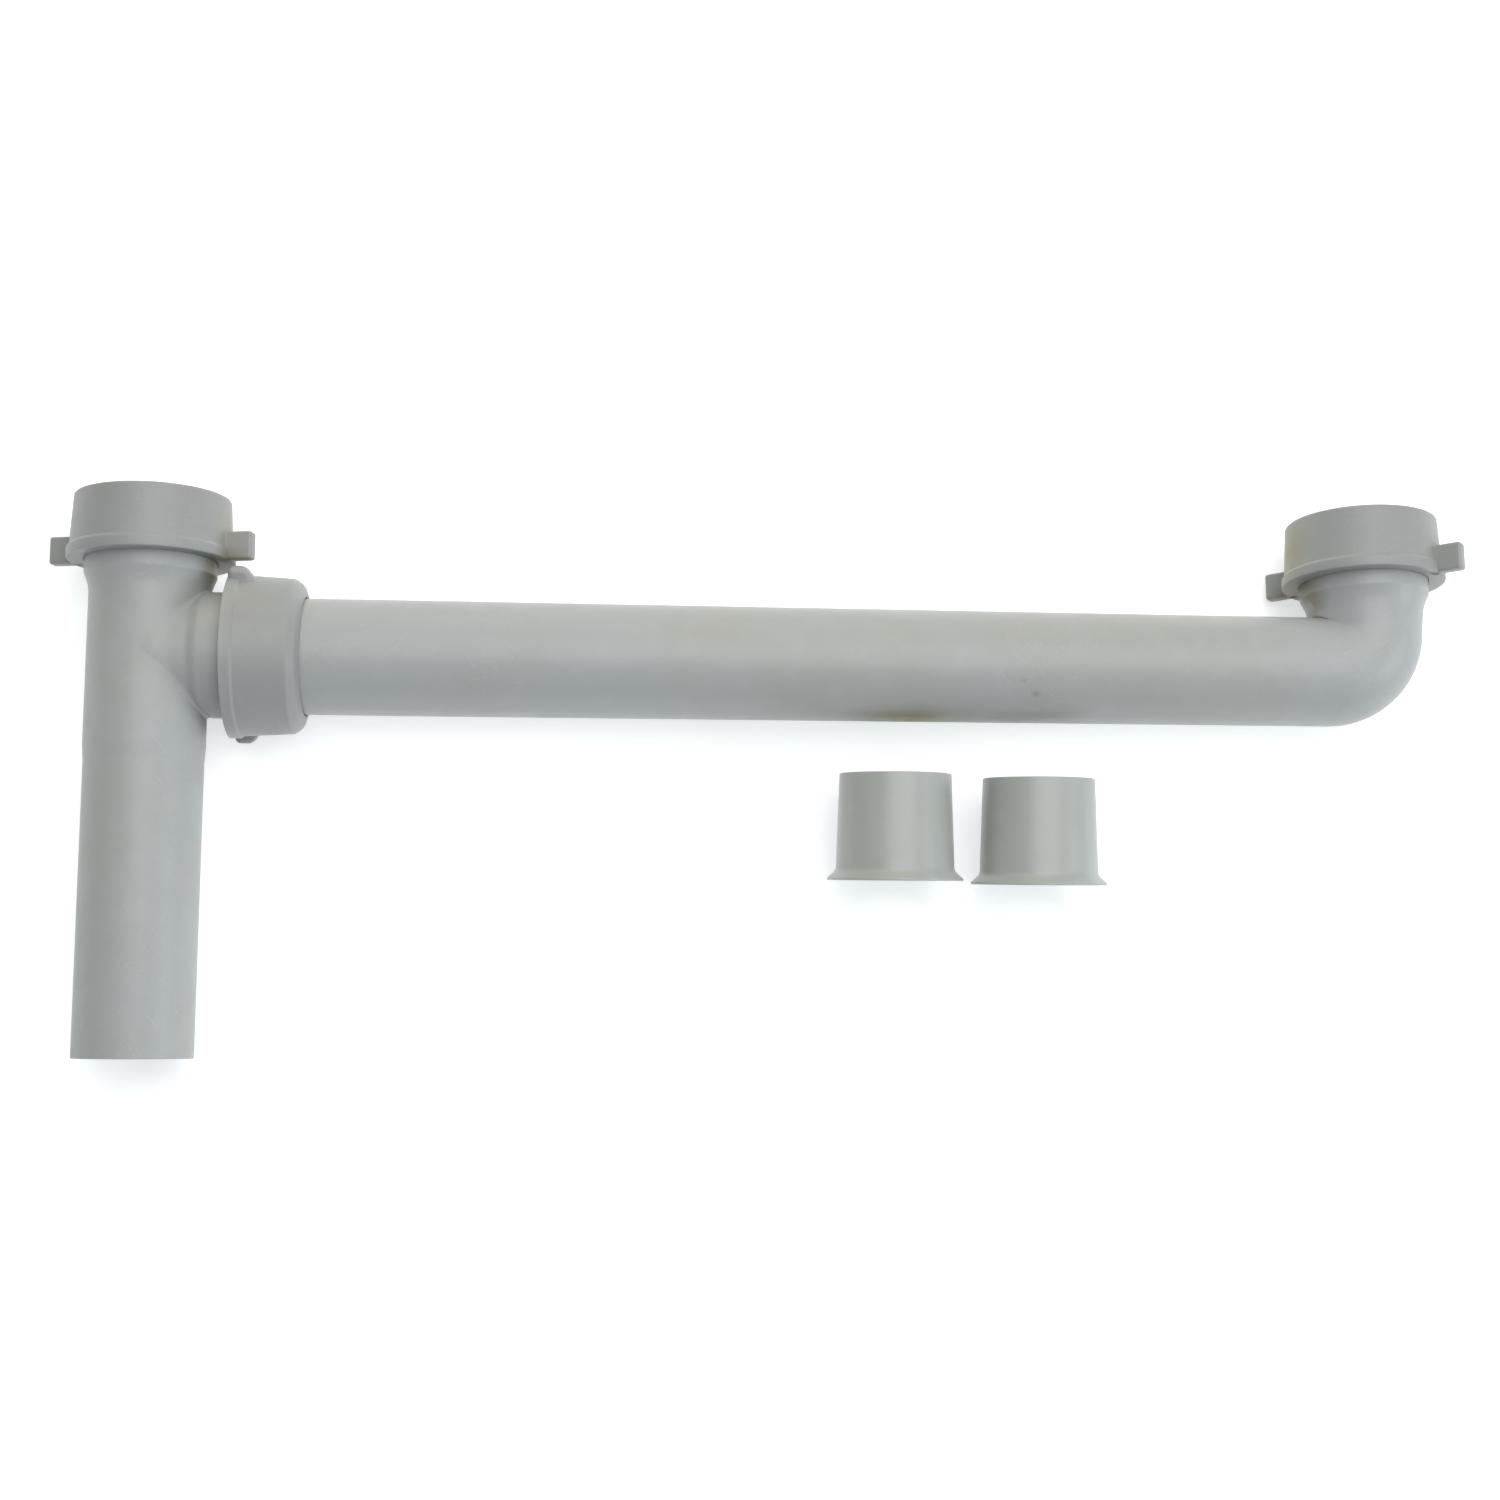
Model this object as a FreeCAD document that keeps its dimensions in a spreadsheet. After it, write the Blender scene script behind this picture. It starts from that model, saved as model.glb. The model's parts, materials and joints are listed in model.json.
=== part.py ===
import FreeCAD, Part
import math
import os
import Sketcher

# Direct-connect end-outlet continuous waste for a double-bowl sink, lying on a flat surface.
# Millimetres. +X runs along the waste arm, +Y towards the sink inlets, +Z up from the surface.
# The origin is the middle of the kit's footprint, on the surface.

DRIVING_SIZES = (
    # tube stock
    ("tube_radius", 19.05),
    ("bore_radius", 17.45),
    ("centre_distance", 406.4),
    ("tail_length", 130.4),
    # heavier wall of the tee around its branch, distance below the arm's axis
    ("run_foot", 30.4),
    ("run_radius", 19.4),
    ("run_taper", 1.2),
    # neck and captive flange at both inlets, heights above the arm's axis
    ("taper_foot", 20.4),
    ("taper_head", 25.9),
    ("neck_radius", 21.2),
    ("flange_foot", 33.9),
    ("flange_radius", 22.1),
    ("flange_thickness", 2.5),
    # side branch of the tee, distances from the tee's axis
    ("branch_radius", 19.0),
    ("branch_bore", 17.35),
    ("collar_start", 15.5),
    ("collar_taper", 3.0),
    ("collar_radius", 20.6),
    ("thread_start", 30.5),
    ("thread_radius", 23.1),
    ("socket_start", 24.5),
    ("socket_radius", 19.25),
    ("socket_end", 45.5),
    ("mouth_bevel", 2.95),
    # baffle inside the tee
    ("baffle_offset", 7.0),
    ("baffle_thickness", 1.4),
    ("baffle_above", 21.0),
    ("baffle_below", 26.0),
    ("baffle_width", 33.4),
    # waste arm: parallel where it slips into the tee, then drafted down to the bend
    ("arm_start", 26.0),
    ("arm_parallel", 54.0),
    ("bend_tube", 18.4),
    ("bend_bore", 16.85),
    ("bend_radius", 14.0),
    # coupling nut
    ("coupling_foot", 30.46),
    ("coupling_height", 21.4),
    ("coupling_hole", 21.6),
    ("coupling_floor", 3.0),
    ("coupling_thread", 22.6),
    ("coupling_relief", 23.6),
    ("relief_height", 3.4),
    ("coupling_foot_radius", 26.15),
    ("coupling_rim_radius", 25.1),
    ("ring_radius", 27.0),
    ("ring_height", 3.4),
    ("edge_break", 0.6),
    ("wing_root", 24.4),
    ("wing_tip", 34.8),
    ("wing_height", 9.3),
    ("wing_thickness", 4.6),
    # slip nut
    ("slip_start", 27.0),
    ("slip_height", 24.2),
    ("slip_foot_radius", 26.3),
    ("slip_radius", 25.4),
    ("slip_floor", 2.7),
    ("slip_hole", 19.45),
    ("slip_thread", 23.4),
    ("slip_shoulder", 2.8),
    ("ear_root", 25.2),
    ("ear_root_height", 9.0),
    ("ear_tip", 30.1),
    ("ear_tip_height", 6.0),
    # slip-joint washer
    ("washer_start", 43.3),
    ("washer_bore", 19.12),
    ("washer_nose", 0.53),
    ("washer_radius", 22.55),
    ("washer_height", 5.0),
    # flanged insert
    ("insert_height", 35.2),
    ("insert_wide_radius", 19.6),
    ("insert_narrow_radius", 18.5),
    ("insert_wall", 1.2),
    ("insert_flange_radius", 22.5),
    ("insert_flange_thickness", 1.4),
)

# How the pieces lie, in degrees and in millimetres from the crossing of the tee and the arm.
LEFT_WING_ANGLE = -12.5
RIGHT_WING_ANGLE = -41.7
SLIP_EAR_ANGLE = 27.0
INSERT_YAW = 0.4
INSERT_TILT = 7.5
INSERT_FOOT = {"flanged_insert_a": (244.8, -71.5), "flanged_insert_b": (292.7, -72.6)}


class Dim:
    """A length that carries its value and the sheet expression that it comes from."""

    def __init__(self, value, text):
        self.value = value
        self.text = text

    def __add__(self, other):
        return Dim(self.value + other.value, "(%s + %s)" % (self.text, other.text))

    def __sub__(self, other):
        return Dim(self.value - other.value, "(%s - %s)" % (self.text, other.text))


class Sizes:
    """The driving sizes by name, each as a Dim bound to its cell."""

    def __init__(self, sheet, rows):
        for row, (alias, value) in enumerate(rows, start=1):
            sheet.set("A%d" % row, alias.replace("_", " "))
            sheet.set("B%d" % row, str(value))
            sheet.setAlias("B%d" % row, alias)
            setattr(self, alias, Dim(value, "Sizes." + alias))


ZERO = Dim(0.0, "0")

doc = FreeCAD.newDocument("continuous_waste")
size_sheet = doc.addObject("Spreadsheet::Sheet", "Sizes")
S = Sizes(size_sheet, DRIVING_SIZES)
doc.recompute()


def new_body(label):
    body = doc.addObject("PartDesign::Body", label)
    body.Label = label
    return body


def new_sketch(body, name, role, shift=(ZERO, ZERO, ZERO)):
    """A sketch on one of the body's origin planes, moved by shift in the sketch's own axes."""
    sketch = body.newObject("Sketcher::SketchObject", name)
    plane = [feature for feature in body.Origin.OriginFeatures if feature.Role == role][0]
    sketch.AttachmentSupport = [(plane, "")]
    sketch.MapMode = "FlatFace"
    for axis, distance in zip("xyz", shift):
        if distance is not ZERO:
            sketch.setExpression("AttachmentOffset.Base." + axis, distance.text)
    offset = FreeCAD.Vector(*[distance.value for distance in shift])
    sketch.AttachmentOffset = FreeCAD.Placement(offset, FreeCAD.Rotation())
    return sketch


def bind(sketch, kind, *arguments):
    """Adds a dimensional constraint whose last argument is a Dim, and ties it to the sheet."""
    distance = arguments[-1]
    index = sketch.addConstraint(Sketcher.Constraint(kind, *arguments[:-1], distance.value))
    sketch.setExpression("Constraints[%d]" % index, distance.text)


def closed_profile(sketch, corners):
    """A closed outline of straight lines through corners, each a pair of Dims."""
    points = [FreeCAD.Vector(across.value, up.value, 0) for across, up in corners]
    count = len(points)
    for index in range(count):
        sketch.addGeometry(Part.LineSegment(points[index], points[(index + 1) % count]), False)
    for index in range(count):
        sketch.addConstraint(Sketcher.Constraint("Coincident", index, 2, (index + 1) % count, 1))
    horizontal_axis, vertical_axis = -1, -2
    for index, (across, up) in enumerate(corners):
        if across is ZERO:
            sketch.addConstraint(Sketcher.Constraint("PointOnObject", index, 1, vertical_axis))
        else:
            bind(sketch, "DistanceX", -1, 1, index, 1, across)
        if up is ZERO:
            sketch.addConstraint(Sketcher.Constraint("PointOnObject", index, 1, horizontal_axis))
        else:
            bind(sketch, "DistanceY", -1, 1, index, 1, up)


def turn(body, kind, sketch, axis, angle=360.0, reverse=False):
    """A Revolution or Groove of the sketch about one of its own axes."""
    volume_before = body.Tip.Shape.Volume if body.Tip else 0.0
    feature = body.newObject("PartDesign::" + kind, sketch.Name + "_" + kind.lower())
    feature.Profile = sketch
    feature.ReferenceAxis = (sketch, [axis])
    feature.Angle = angle
    feature.Reversed = reverse
    doc.recompute()
    if kind == "Groove" and feature.Shape.Volume > volume_before - 1.0:
        raise RuntimeError("%s cut nothing away" % feature.Name)
    return feature


def plate(body, name, corners, thickness, shift=(ZERO, ZERO, ZERO)):
    """A flat plate padded evenly to both sides of the body's XZ plane."""
    sketch = new_sketch(body, name, "XZ_Plane", shift)
    closed_profile(sketch, corners)
    pad = body.newObject("PartDesign::Pad", name + "_pad")
    pad.Profile = sketch
    pad.Midplane = True
    pad.setExpression("Length", thickness.text)
    doc.recompute()
    return pad


def opposite_pair(body, feature):
    """Repeats a feature on the other side of the body's Z axis."""
    pattern = body.newObject("PartDesign::PolarPattern", feature.Name + "_pair")
    pattern.Originals = [feature]
    axis = [item for item in body.Origin.OriginFeatures if item.Role == "Z_Axis"][0]
    pattern.Axis = (axis, [""])
    pattern.Angle = 360.0
    pattern.Occurrences = 2
    body.Tip = pattern
    doc.recompute()
    return pattern


def revolved(body, name, corners, shift=(ZERO, ZERO, ZERO), axis="V_Axis", kind="Revolution"):
    sketch = new_sketch(body, name, "XZ_Plane", shift)
    closed_profile(sketch, corners)
    return turn(body, kind, sketch, axis)


def inlet_outline(leg, leg_radius, foot):
    """Outline of an inlet: the leg's own corners, then from the taper up to the captive flange."""
    top = S.flange_foot + S.flange_thickness
    return leg + (
        (leg_radius, foot + S.taper_foot),
        (S.neck_radius, foot + S.taper_head),
        (S.neck_radius, foot + S.flange_foot),
        (S.flange_radius, foot + S.flange_foot),
        (S.flange_radius, foot + top),
        (ZERO, foot + top),
    )


def make_tee_body():
    """Tee with its long tailpiece: tail end at the local origin, inlet along +Z, branch along +X."""
    body = new_body("tee_body")
    run_foot = S.tail_length - S.run_foot
    tail = (
        (ZERO, ZERO),
        (S.tube_radius, ZERO),
        (S.tube_radius, run_foot),
        (S.run_radius, run_foot + S.run_taper),
    )
    revolved(body, "tee_run", inlet_outline(tail, S.run_radius, S.tail_length))
    at_branch = (ZERO, S.tail_length, ZERO)
    revolved(body, "tee_branch", (
        (ZERO, ZERO),
        (ZERO, S.branch_radius),
        (S.collar_start, S.branch_radius),
        (S.collar_start + S.collar_taper, S.collar_radius),
        (S.thread_start, S.collar_radius),
        (S.thread_start, S.thread_radius),
        (S.socket_end, S.thread_radius),
        (S.socket_end, ZERO),
    ), at_branch, "H_Axis")
    bore_top = S.tail_length + S.flange_foot + S.flange_thickness
    revolved(body, "tee_bore", (
        (ZERO, ZERO),
        (S.bore_radius, ZERO),
        (S.bore_radius, bore_top),
        (ZERO, bore_top),
    ), kind="Groove")
    revolved(body, "tee_socket", (
        (ZERO, ZERO),
        (ZERO, S.branch_bore),
        (S.socket_start, S.branch_bore),
        (S.socket_start, S.socket_radius),
        (S.socket_end - S.mouth_bevel, S.socket_radius),
        (S.socket_end, S.socket_radius + S.mouth_bevel),
        (S.socket_end, ZERO),
    ), at_branch, "H_Axis", "Groove")
    inner = S.baffle_offset
    outer = S.baffle_offset + S.baffle_thickness
    low = S.tail_length - S.baffle_below
    high = S.tail_length + S.baffle_above
    plate(body, "tee_baffle", ((inner, low), (outer, low), (outer, high), (inner, high)),
          S.baffle_width)
    return body


def quarter_bend(body, name, radius, kind, straight):
    """A quarter turn of tube so tight that its section is cut off flat on the bend's own axis."""
    sketch = new_sketch(body, name, "YZ_Plane", (ZERO, S.bend_radius, straight))
    reach = math.sqrt(radius.value ** 2 - S.bend_radius.value ** 2)
    centre = FreeCAD.Vector(0, -S.bend_radius.value, 0)
    start = math.pi - math.atan2(S.bend_radius.value, reach)
    end = 2 * math.pi + math.atan2(S.bend_radius.value, reach)
    circle = Part.Circle(centre, FreeCAD.Vector(0, 0, 1), radius.value)
    arc = sketch.addGeometry(Part.ArcOfCircle(circle, start, end), False)
    chord = sketch.addGeometry(
        Part.LineSegment(FreeCAD.Vector(reach, 0, 0), FreeCAD.Vector(-reach, 0, 0)), False)
    sketch.addConstraint(Sketcher.Constraint("Coincident", arc, 2, chord, 1))
    sketch.addConstraint(Sketcher.Constraint("Coincident", chord, 2, arc, 1))
    sketch.addConstraint(Sketcher.Constraint("PointOnObject", arc, 3, -2))
    sketch.addConstraint(Sketcher.Constraint("PointOnObject", chord, 1, -1))
    sketch.addConstraint(Sketcher.Constraint("PointOnObject", chord, 2, -1))
    bind(sketch, "DistanceY", arc, 3, -1, 1, S.bend_radius)
    bind(sketch, "Radius", arc, radius)
    return turn(body, kind, sketch, "H_Axis", 90.0, True)


def make_waste_arm():
    """Drafted tube with its elbow: spigot end at the local origin, tube along +X, inlet along +Z."""
    body = new_body("waste_arm")
    length = S.centre_distance - S.arm_start
    straight = length - S.bend_radius
    leg_foot = ZERO - S.bend_radius
    top = S.flange_foot + S.flange_thickness - S.bend_radius
    at_leg = (length, S.bend_radius, ZERO)
    revolved(body, "arm_tube", (
        (ZERO, ZERO),
        (ZERO, S.tube_radius),
        (S.arm_parallel, S.tube_radius),
        (straight, S.bend_tube),
        (straight, ZERO),
    ), axis="H_Axis")
    quarter_bend(body, "arm_bend", S.bend_tube, "Revolution", straight)
    leg = ((ZERO, ZERO), (S.bend_tube, ZERO))
    revolved(body, "arm_inlet", inlet_outline(leg, S.tube_radius, leg_foot), at_leg)
    revolved(body, "arm_bore", (
        (ZERO, ZERO),
        (ZERO, S.bore_radius),
        (S.arm_parallel, S.bore_radius),
        (straight, S.bend_bore),
        (straight, ZERO),
    ), axis="H_Axis", kind="Groove")
    quarter_bend(body, "arm_bend_bore", S.bend_bore, "Groove", straight)
    revolved(body, "arm_inlet_bore", (
        (ZERO, ZERO),
        (S.bend_bore, ZERO),
        (S.bore_radius, top),
        (ZERO, top),
    ), at_leg, kind="Groove")
    return body


def make_coupling_nut(label):
    """Winged nut held on an inlet by its flange: closed end at the local origin, mouth at +Z."""
    body = new_body(label)
    relief_top = S.coupling_floor + S.relief_height
    revolved(body, label + "_ring", (
        (S.coupling_hole, ZERO),
        (S.ring_radius - S.edge_break, ZERO),
        (S.ring_radius, S.edge_break),
        (S.ring_radius, S.ring_height),
        (S.coupling_foot_radius, S.ring_height + S.edge_break),
        (S.coupling_rim_radius, S.coupling_height),
        (S.coupling_thread + S.edge_break, S.coupling_height),
        (S.coupling_thread, S.coupling_height - S.edge_break),
        (S.coupling_thread, relief_top),
        (S.coupling_relief, relief_top),
        (S.coupling_relief, S.coupling_floor),
        (S.coupling_hole, S.coupling_floor),
    ))
    wing = plate(body, label + "_wing", (
        (S.wing_root, ZERO),
        (S.wing_tip, ZERO),
        (S.wing_tip, S.wing_height),
        (S.wing_root, S.wing_height),
    ), S.wing_thickness)
    opposite_pair(body, wing)
    return body


def make_slip_nut():
    """Winged nut that closes the slip joint: open end at the local origin, closed end at +Z."""
    body = new_body("slip_nut")
    ring = revolved(body, "slip_ring", (
        (S.slip_thread, ZERO),
        (S.ring_radius, ZERO),
        (S.ring_radius, S.ring_height),
        (S.slip_foot_radius, S.ring_height + S.edge_break),
        (S.slip_radius, S.slip_height),
        (S.slip_hole, S.slip_height),
        (S.slip_hole, S.slip_height - S.slip_floor),
        (S.slip_thread, S.slip_height - S.slip_floor),
    ))
    shoulder = body.newObject("PartDesign::Fillet", "slip_shoulder_round")
    names = []
    for number, edge in enumerate(ring.Shape.Edges, start=1):
        centre = edge.CenterOfMass
        is_outer = abs(edge.BoundBox.XMax - S.slip_radius.value) < 0.01
        if is_outer and abs(centre.z - S.slip_height.value) < 0.01:
            names.append("Edge%d" % number)
    shoulder.Base = (ring, names)
    shoulder.setExpression("Radius", S.slip_shoulder.text)
    doc.recompute()
    ear = plate(body, "slip_ear", (
        (S.ear_root, ZERO),
        (S.ear_tip, ZERO),
        (S.ear_tip, S.ear_tip_height),
        (S.ear_root, S.ear_root_height),
    ), S.wing_thickness)
    opposite_pair(body, ear)
    return body


def make_slip_joint_washer():
    """Bevelled washer: thin nose at the local origin, flat face at +Z."""
    body = new_body("slip_joint_washer")
    nose = S.washer_bore + S.washer_nose
    bevel = S.washer_radius - nose
    revolved(body, "washer_section", (
        (S.washer_bore, ZERO),
        (nose, ZERO),
        (S.washer_radius, bevel),
        (S.washer_radius, S.washer_height),
        (S.washer_bore, S.washer_height),
    ))
    return body


def make_flanged_insert(label):
    """Thin tapered sleeve: flange at the local origin, narrow end at +Z."""
    body = new_body(label)
    revolved(body, label + "_section", (
        (S.insert_wide_radius - S.insert_wall, ZERO),
        (S.insert_flange_radius, ZERO),
        (S.insert_flange_radius, S.insert_flange_thickness),
        (S.insert_wide_radius, S.insert_flange_thickness),
        (S.insert_narrow_radius, S.insert_height),
        (S.insert_narrow_radius - S.insert_wall, S.insert_height),
    ))
    return body


def rotation(axis, degrees):
    return FreeCAD.Rotation(FreeCAD.Vector(*axis), degrees)


X_AXIS, Y_AXIS, Z_AXIS = (1, 0, 0), (0, 1, 0), (0, 0, 1)

# The arm lies on the ring of its coupling nut. The tee rolls in the slip joint until the end of
# its tail rests on the surface too.
axis_height = S.ring_radius.value
tail_reach = math.hypot(S.tail_length.value, S.tube_radius.value)
tee_roll = math.degrees(math.asin(axis_height / tail_reach)
                        - math.atan2(S.tube_radius.value, S.tail_length.value))
crossing = FreeCAD.Vector(0, 0, axis_height)
tee_turn = rotation(X_AXIS, tee_roll - 90)
arm_turn = rotation(X_AXIS, -90)


def place(body, turned, start, along):
    """Puts the body's local point (0, 0, 0) at start plus the turned vector along."""
    body.Placement = FreeCAD.Placement(start + turned.multVec(FreeCAD.Vector(*along)), turned)


tee = make_tee_body()
place(tee, tee_turn, crossing, (0, 0, -S.tail_length.value))

arm = make_waste_arm()
place(arm, arm_turn, crossing, (S.arm_start.value, 0, 0))

left_nut = make_coupling_nut("left_coupling_nut")
place(left_nut, tee_turn * rotation(Z_AXIS, LEFT_WING_ANGLE), crossing,
      (0, 0, S.coupling_foot.value))

right_nut = make_coupling_nut("right_coupling_nut")
right_inlet = crossing + FreeCAD.Vector(S.centre_distance.value, 0, 0)
place(right_nut, arm_turn * rotation(Z_AXIS, RIGHT_WING_ANGLE), right_inlet,
      (0, 0, S.coupling_foot.value))

slip_nut = make_slip_nut()
slip_turn = rotation(X_AXIS, 90 + SLIP_EAR_ANGLE + tee_roll) * rotation(Y_AXIS, 90)
place(slip_nut, slip_turn, crossing, (0, 0, S.slip_start.value))

washer = make_slip_joint_washer()
place(washer, rotation(Y_AXIS, 90), crossing, (0, 0, S.washer_start.value))

# Each insert touches the surface with the edge of its flange, narrow end raised by the tilt.
insert_tilt = math.radians(INSERT_TILT)
insert_rise = S.insert_flange_radius.value * math.cos(insert_tilt)
inserts = []
for label, (foot_x, foot_y) in INSERT_FOOT.items():
    insert = make_flanged_insert(label)
    insert_turn = rotation(Z_AXIS, -INSERT_YAW) * rotation(X_AXIS, INSERT_TILT - 90)
    place(insert, insert_turn, FreeCAD.Vector(foot_x, foot_y, insert_rise), (0, 0, 0))
    inserts.append(insert)

pieces = [tee, arm, left_nut, right_nut, slip_nut, washer] + inserts
doc.recompute()

# Moves the whole kit so that the origin is the middle of its footprint.
footprint = FreeCAD.BoundBox()
for piece in pieces:
    footprint.add(piece.Shape.optimalBoundingBox(False, False))
middle = FreeCAD.Vector(footprint.Center.x, footprint.Center.y, 0)
for piece in pieces:
    piece.Placement.Base = piece.Placement.Base - middle
doc.recompute()

for item in doc.Objects:
    if "Invalid" in item.State or "Error" in item.State:
        raise RuntimeError("%s failed: %s" % (item.Name, item.State))
for piece in pieces:
    if piece.Shape.isNull() or not piece.Shape.isValid() or len(piece.Shape.Solids) != 1:
        raise RuntimeError("%s has no valid single solid" % piece.Label)

os.makedirs("parts", exist_ok=True)
for piece in pieces:
    piece.Shape.exportStep(os.path.join("parts", piece.Label + ".step"))
    box = piece.Shape.optimalBoundingBox(False, False)
    print("%-20s volume %9.1f  x %8.2f %8.2f  y %8.2f %8.2f  z %7.2f %7.2f" % (
        piece.Label, piece.Shape.Volume, box.XMin, box.XMax, box.YMin, box.YMax,
        box.ZMin, box.ZMax))
print("crossing at %.3f %.3f %.3f, tee roll %.3f degrees" % (
    -middle.x, -middle.y, axis_height, tee_roll))
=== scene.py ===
import json
import math

import bmesh
import bpy
import numpy as np
from mathutils import Matrix, Vector


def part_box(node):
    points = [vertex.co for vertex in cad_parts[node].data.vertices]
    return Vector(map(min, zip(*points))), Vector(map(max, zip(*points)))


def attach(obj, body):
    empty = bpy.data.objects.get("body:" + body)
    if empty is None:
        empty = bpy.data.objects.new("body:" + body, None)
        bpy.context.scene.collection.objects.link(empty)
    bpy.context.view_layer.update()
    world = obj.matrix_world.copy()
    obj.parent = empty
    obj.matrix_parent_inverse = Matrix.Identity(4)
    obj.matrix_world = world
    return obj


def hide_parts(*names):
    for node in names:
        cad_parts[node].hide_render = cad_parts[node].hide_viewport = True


# Looks of a direct-connect end-outlet continuous waste, lying on a pale floor.
# Pieces are modelled in millimetres in their own frames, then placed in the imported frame.

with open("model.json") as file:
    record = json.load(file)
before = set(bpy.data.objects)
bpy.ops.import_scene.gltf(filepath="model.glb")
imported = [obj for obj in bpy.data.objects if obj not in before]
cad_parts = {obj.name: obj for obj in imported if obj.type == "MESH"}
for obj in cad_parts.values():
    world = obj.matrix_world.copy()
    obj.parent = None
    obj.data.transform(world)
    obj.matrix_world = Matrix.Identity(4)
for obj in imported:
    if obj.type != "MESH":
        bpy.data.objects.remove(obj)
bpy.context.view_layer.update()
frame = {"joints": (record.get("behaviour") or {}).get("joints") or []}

MM = 0.001            # metres in a millimetre

# How finely the shells are made.
AROUND = 128          # points round every ring; a multiple of four
ARC_STEP = 15.0       # degrees between the points of a rounded corner
THREAD_STEP = 0.17    # millimetres between the rings that carry a thread
WELD = 2e-7           # metres within which the points of neighbouring grids are one
COLLAPSED = 1e-8      # metres below which an edge is dropped
SAME = 1e-6           # difference below which two computed values are equal
SHARP = 38.0          # degrees from which an edge is shaded as a sharp one

# Sizes of the plastic, in millimetres. Heights are above the arm's axis.
TUBE, BORE = 19.05, 17.45                           # radii of the plain tube
CENTRES = 406.4                                     # from one inlet's axis to the other's
TAIL_END = -130.4
RUN, RUN_FOOT = 19.4, 30.4                          # the tee's heavier run: radius and depth
TAPER_FOOT, TAPER_HEAD, NECK = 20.4, 25.9, 21.2     # an inlet widens from the tube to its neck
FLANGE_FOOT, FLANGE_TOP, FLANGE = 33.9, 36.4, 22.1  # captive flange at the end of an inlet
LEG_RING = 28.0                                     # where an inlet's plain round rings begin

# The tee's branch, as radii and as distances from the tee's axis.
COLLAR_FOOT, COLLAR_HEAD, COLLAR = 15.5, 18.5, 20.6
BRANCH_RING = 24.0                                  # where its plain round rings begin
THREAD_FOOT, THREAD_ROOT = 30.5, 22.1
SOCKET, SOCKET_FLOOR = 19.25, 24.5
BRANCH_END = 45.5
SLIP_NUT_FOOT = 27.0

# The arm, from the tee's axis: its end in the socket, where its plain round rings begin and
# where its draft starts. The draft ends at the bend, whose middle line has radius BEND.
ARM_FOOT, ARM_RING, ARM_PARALLEL = 26.0, 28.0, 80.0
BEND_TUBE, BEND_BORE = 18.4, 16.85
BEND = 14.0

PITCH = 2.209                                       # 1-1/2 in drain thread, 11.5 per inch
NUT_FLANGE = 27.0
INSERT_FLANGE = 22.5

# How the pieces are turned, in degrees.
LEFT_WINGS, RIGHT_WINGS = -12.5, -41.7
SLIP_EARS = 27.0
INSERT_TILT = 7.5

# ---------------------------------------------------------------- where the pieces are

joints = {joint["name"]: joint for joint in frame["joints"]}
arm_point = Vector(joints["arm_turn"]["pos_m"])
left_point = Vector(joints["left_nut_spin"]["pos_m"])
right_point = Vector(joints["right_nut_spin"]["pos_m"])
tee_axis = Vector(joints["left_nut_spin"]["axis"]).normalized()
ALONG = Vector((1, 0, 0))
ACROSS = Vector((0, 1, 0))
UP = Vector((0, 0, 1))
crossing = Vector((left_point.x, arm_point.y, arm_point.z))


def placed(origin, first, third):
    """Placement whose local X is first and local Z is third."""
    second = third.cross(first)
    return Matrix.Translation(origin) @ Matrix((first, second, third)).transposed().to_4x4()


def spun(origin, axis, degrees, start):
    """Placement with local Z on the axis, and local X at start turned round the axis."""
    turn = Matrix.Rotation(math.radians(degrees), 3, axis)
    return placed(origin, (turn @ start).normalized(), axis)


tee_place = placed(crossing, ALONG, ALONG.cross(tee_axis))
arm_place = placed(crossing, ALONG, UP)
left_nut_place = spun(left_point, tee_axis, LEFT_WINGS, ALONG)
right_nut_place = spun(right_point, ACROSS, RIGHT_WINGS, ALONG)

# ---------------------------------------------------------------- outlines and shells


def smooth(value):
    """0 up to 0, 1 from 1 upwards and an easy curve in between."""
    value = np.clip(value, 0.0, 1.0)
    return value * value * (3.0 - 2.0 * value)


def outline(corners, closed=False):
    """Line through (across, along, rounding) corners, each corner turned into an arc.

    An arc takes less than half of its shorter side."""
    most_of_a_side = 0.49
    points = np.array([corner[:2] for corner in corners], float)
    count = len(points)
    line = []
    for index, corner in enumerate(corners):
        here = points[index]
        is_end = not closed and index in (0, count - 1)
        if is_end or corner[2] <= 0.0:
            line.append(here)
            continue
        before = points[index - 1] - here
        after = points[(index + 1) % count] - here
        room = min(np.linalg.norm(before), np.linalg.norm(after)) * most_of_a_side
        before /= np.linalg.norm(before)
        after /= np.linalg.norm(after)
        opening = math.acos(np.clip(before @ after, -1.0, 1.0))
        radius = min(corner[2], room * math.tan(opening / 2))
        middle = (before + after) / np.linalg.norm(before + after)
        centre = here + middle * radius / math.sin(opening / 2)
        reach = radius / math.tan(opening / 2)
        first = here + before * reach - centre
        sweep = math.pi - opening
        side = 1.0 if before[0] * after[1] - before[1] * after[0] < 0 else -1.0
        steps = max(2, int(math.ceil(math.degrees(sweep) / ARC_STEP)))
        for step in range(steps + 1):
            angle = side * sweep * step / steps
            cosine, sine = math.cos(angle), math.sin(angle)
            line.append(centre + np.array((first[0] * cosine - first[1] * sine,
                                           first[0] * sine + first[1] * cosine)))
    return np.array(line)


def threaded_stretch(radius, start, end):
    """Evenly spaced (radius, along) points for a stretch that carries a thread."""
    count = max(2, int(round(abs(end - start) / THREAD_STEP)))
    along = np.linspace(start, end, count + 1)
    return np.column_stack((np.full(count + 1, radius), along))


def angles():
    return np.linspace(0.0, 2.0 * math.pi, AROUND + 1)


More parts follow.
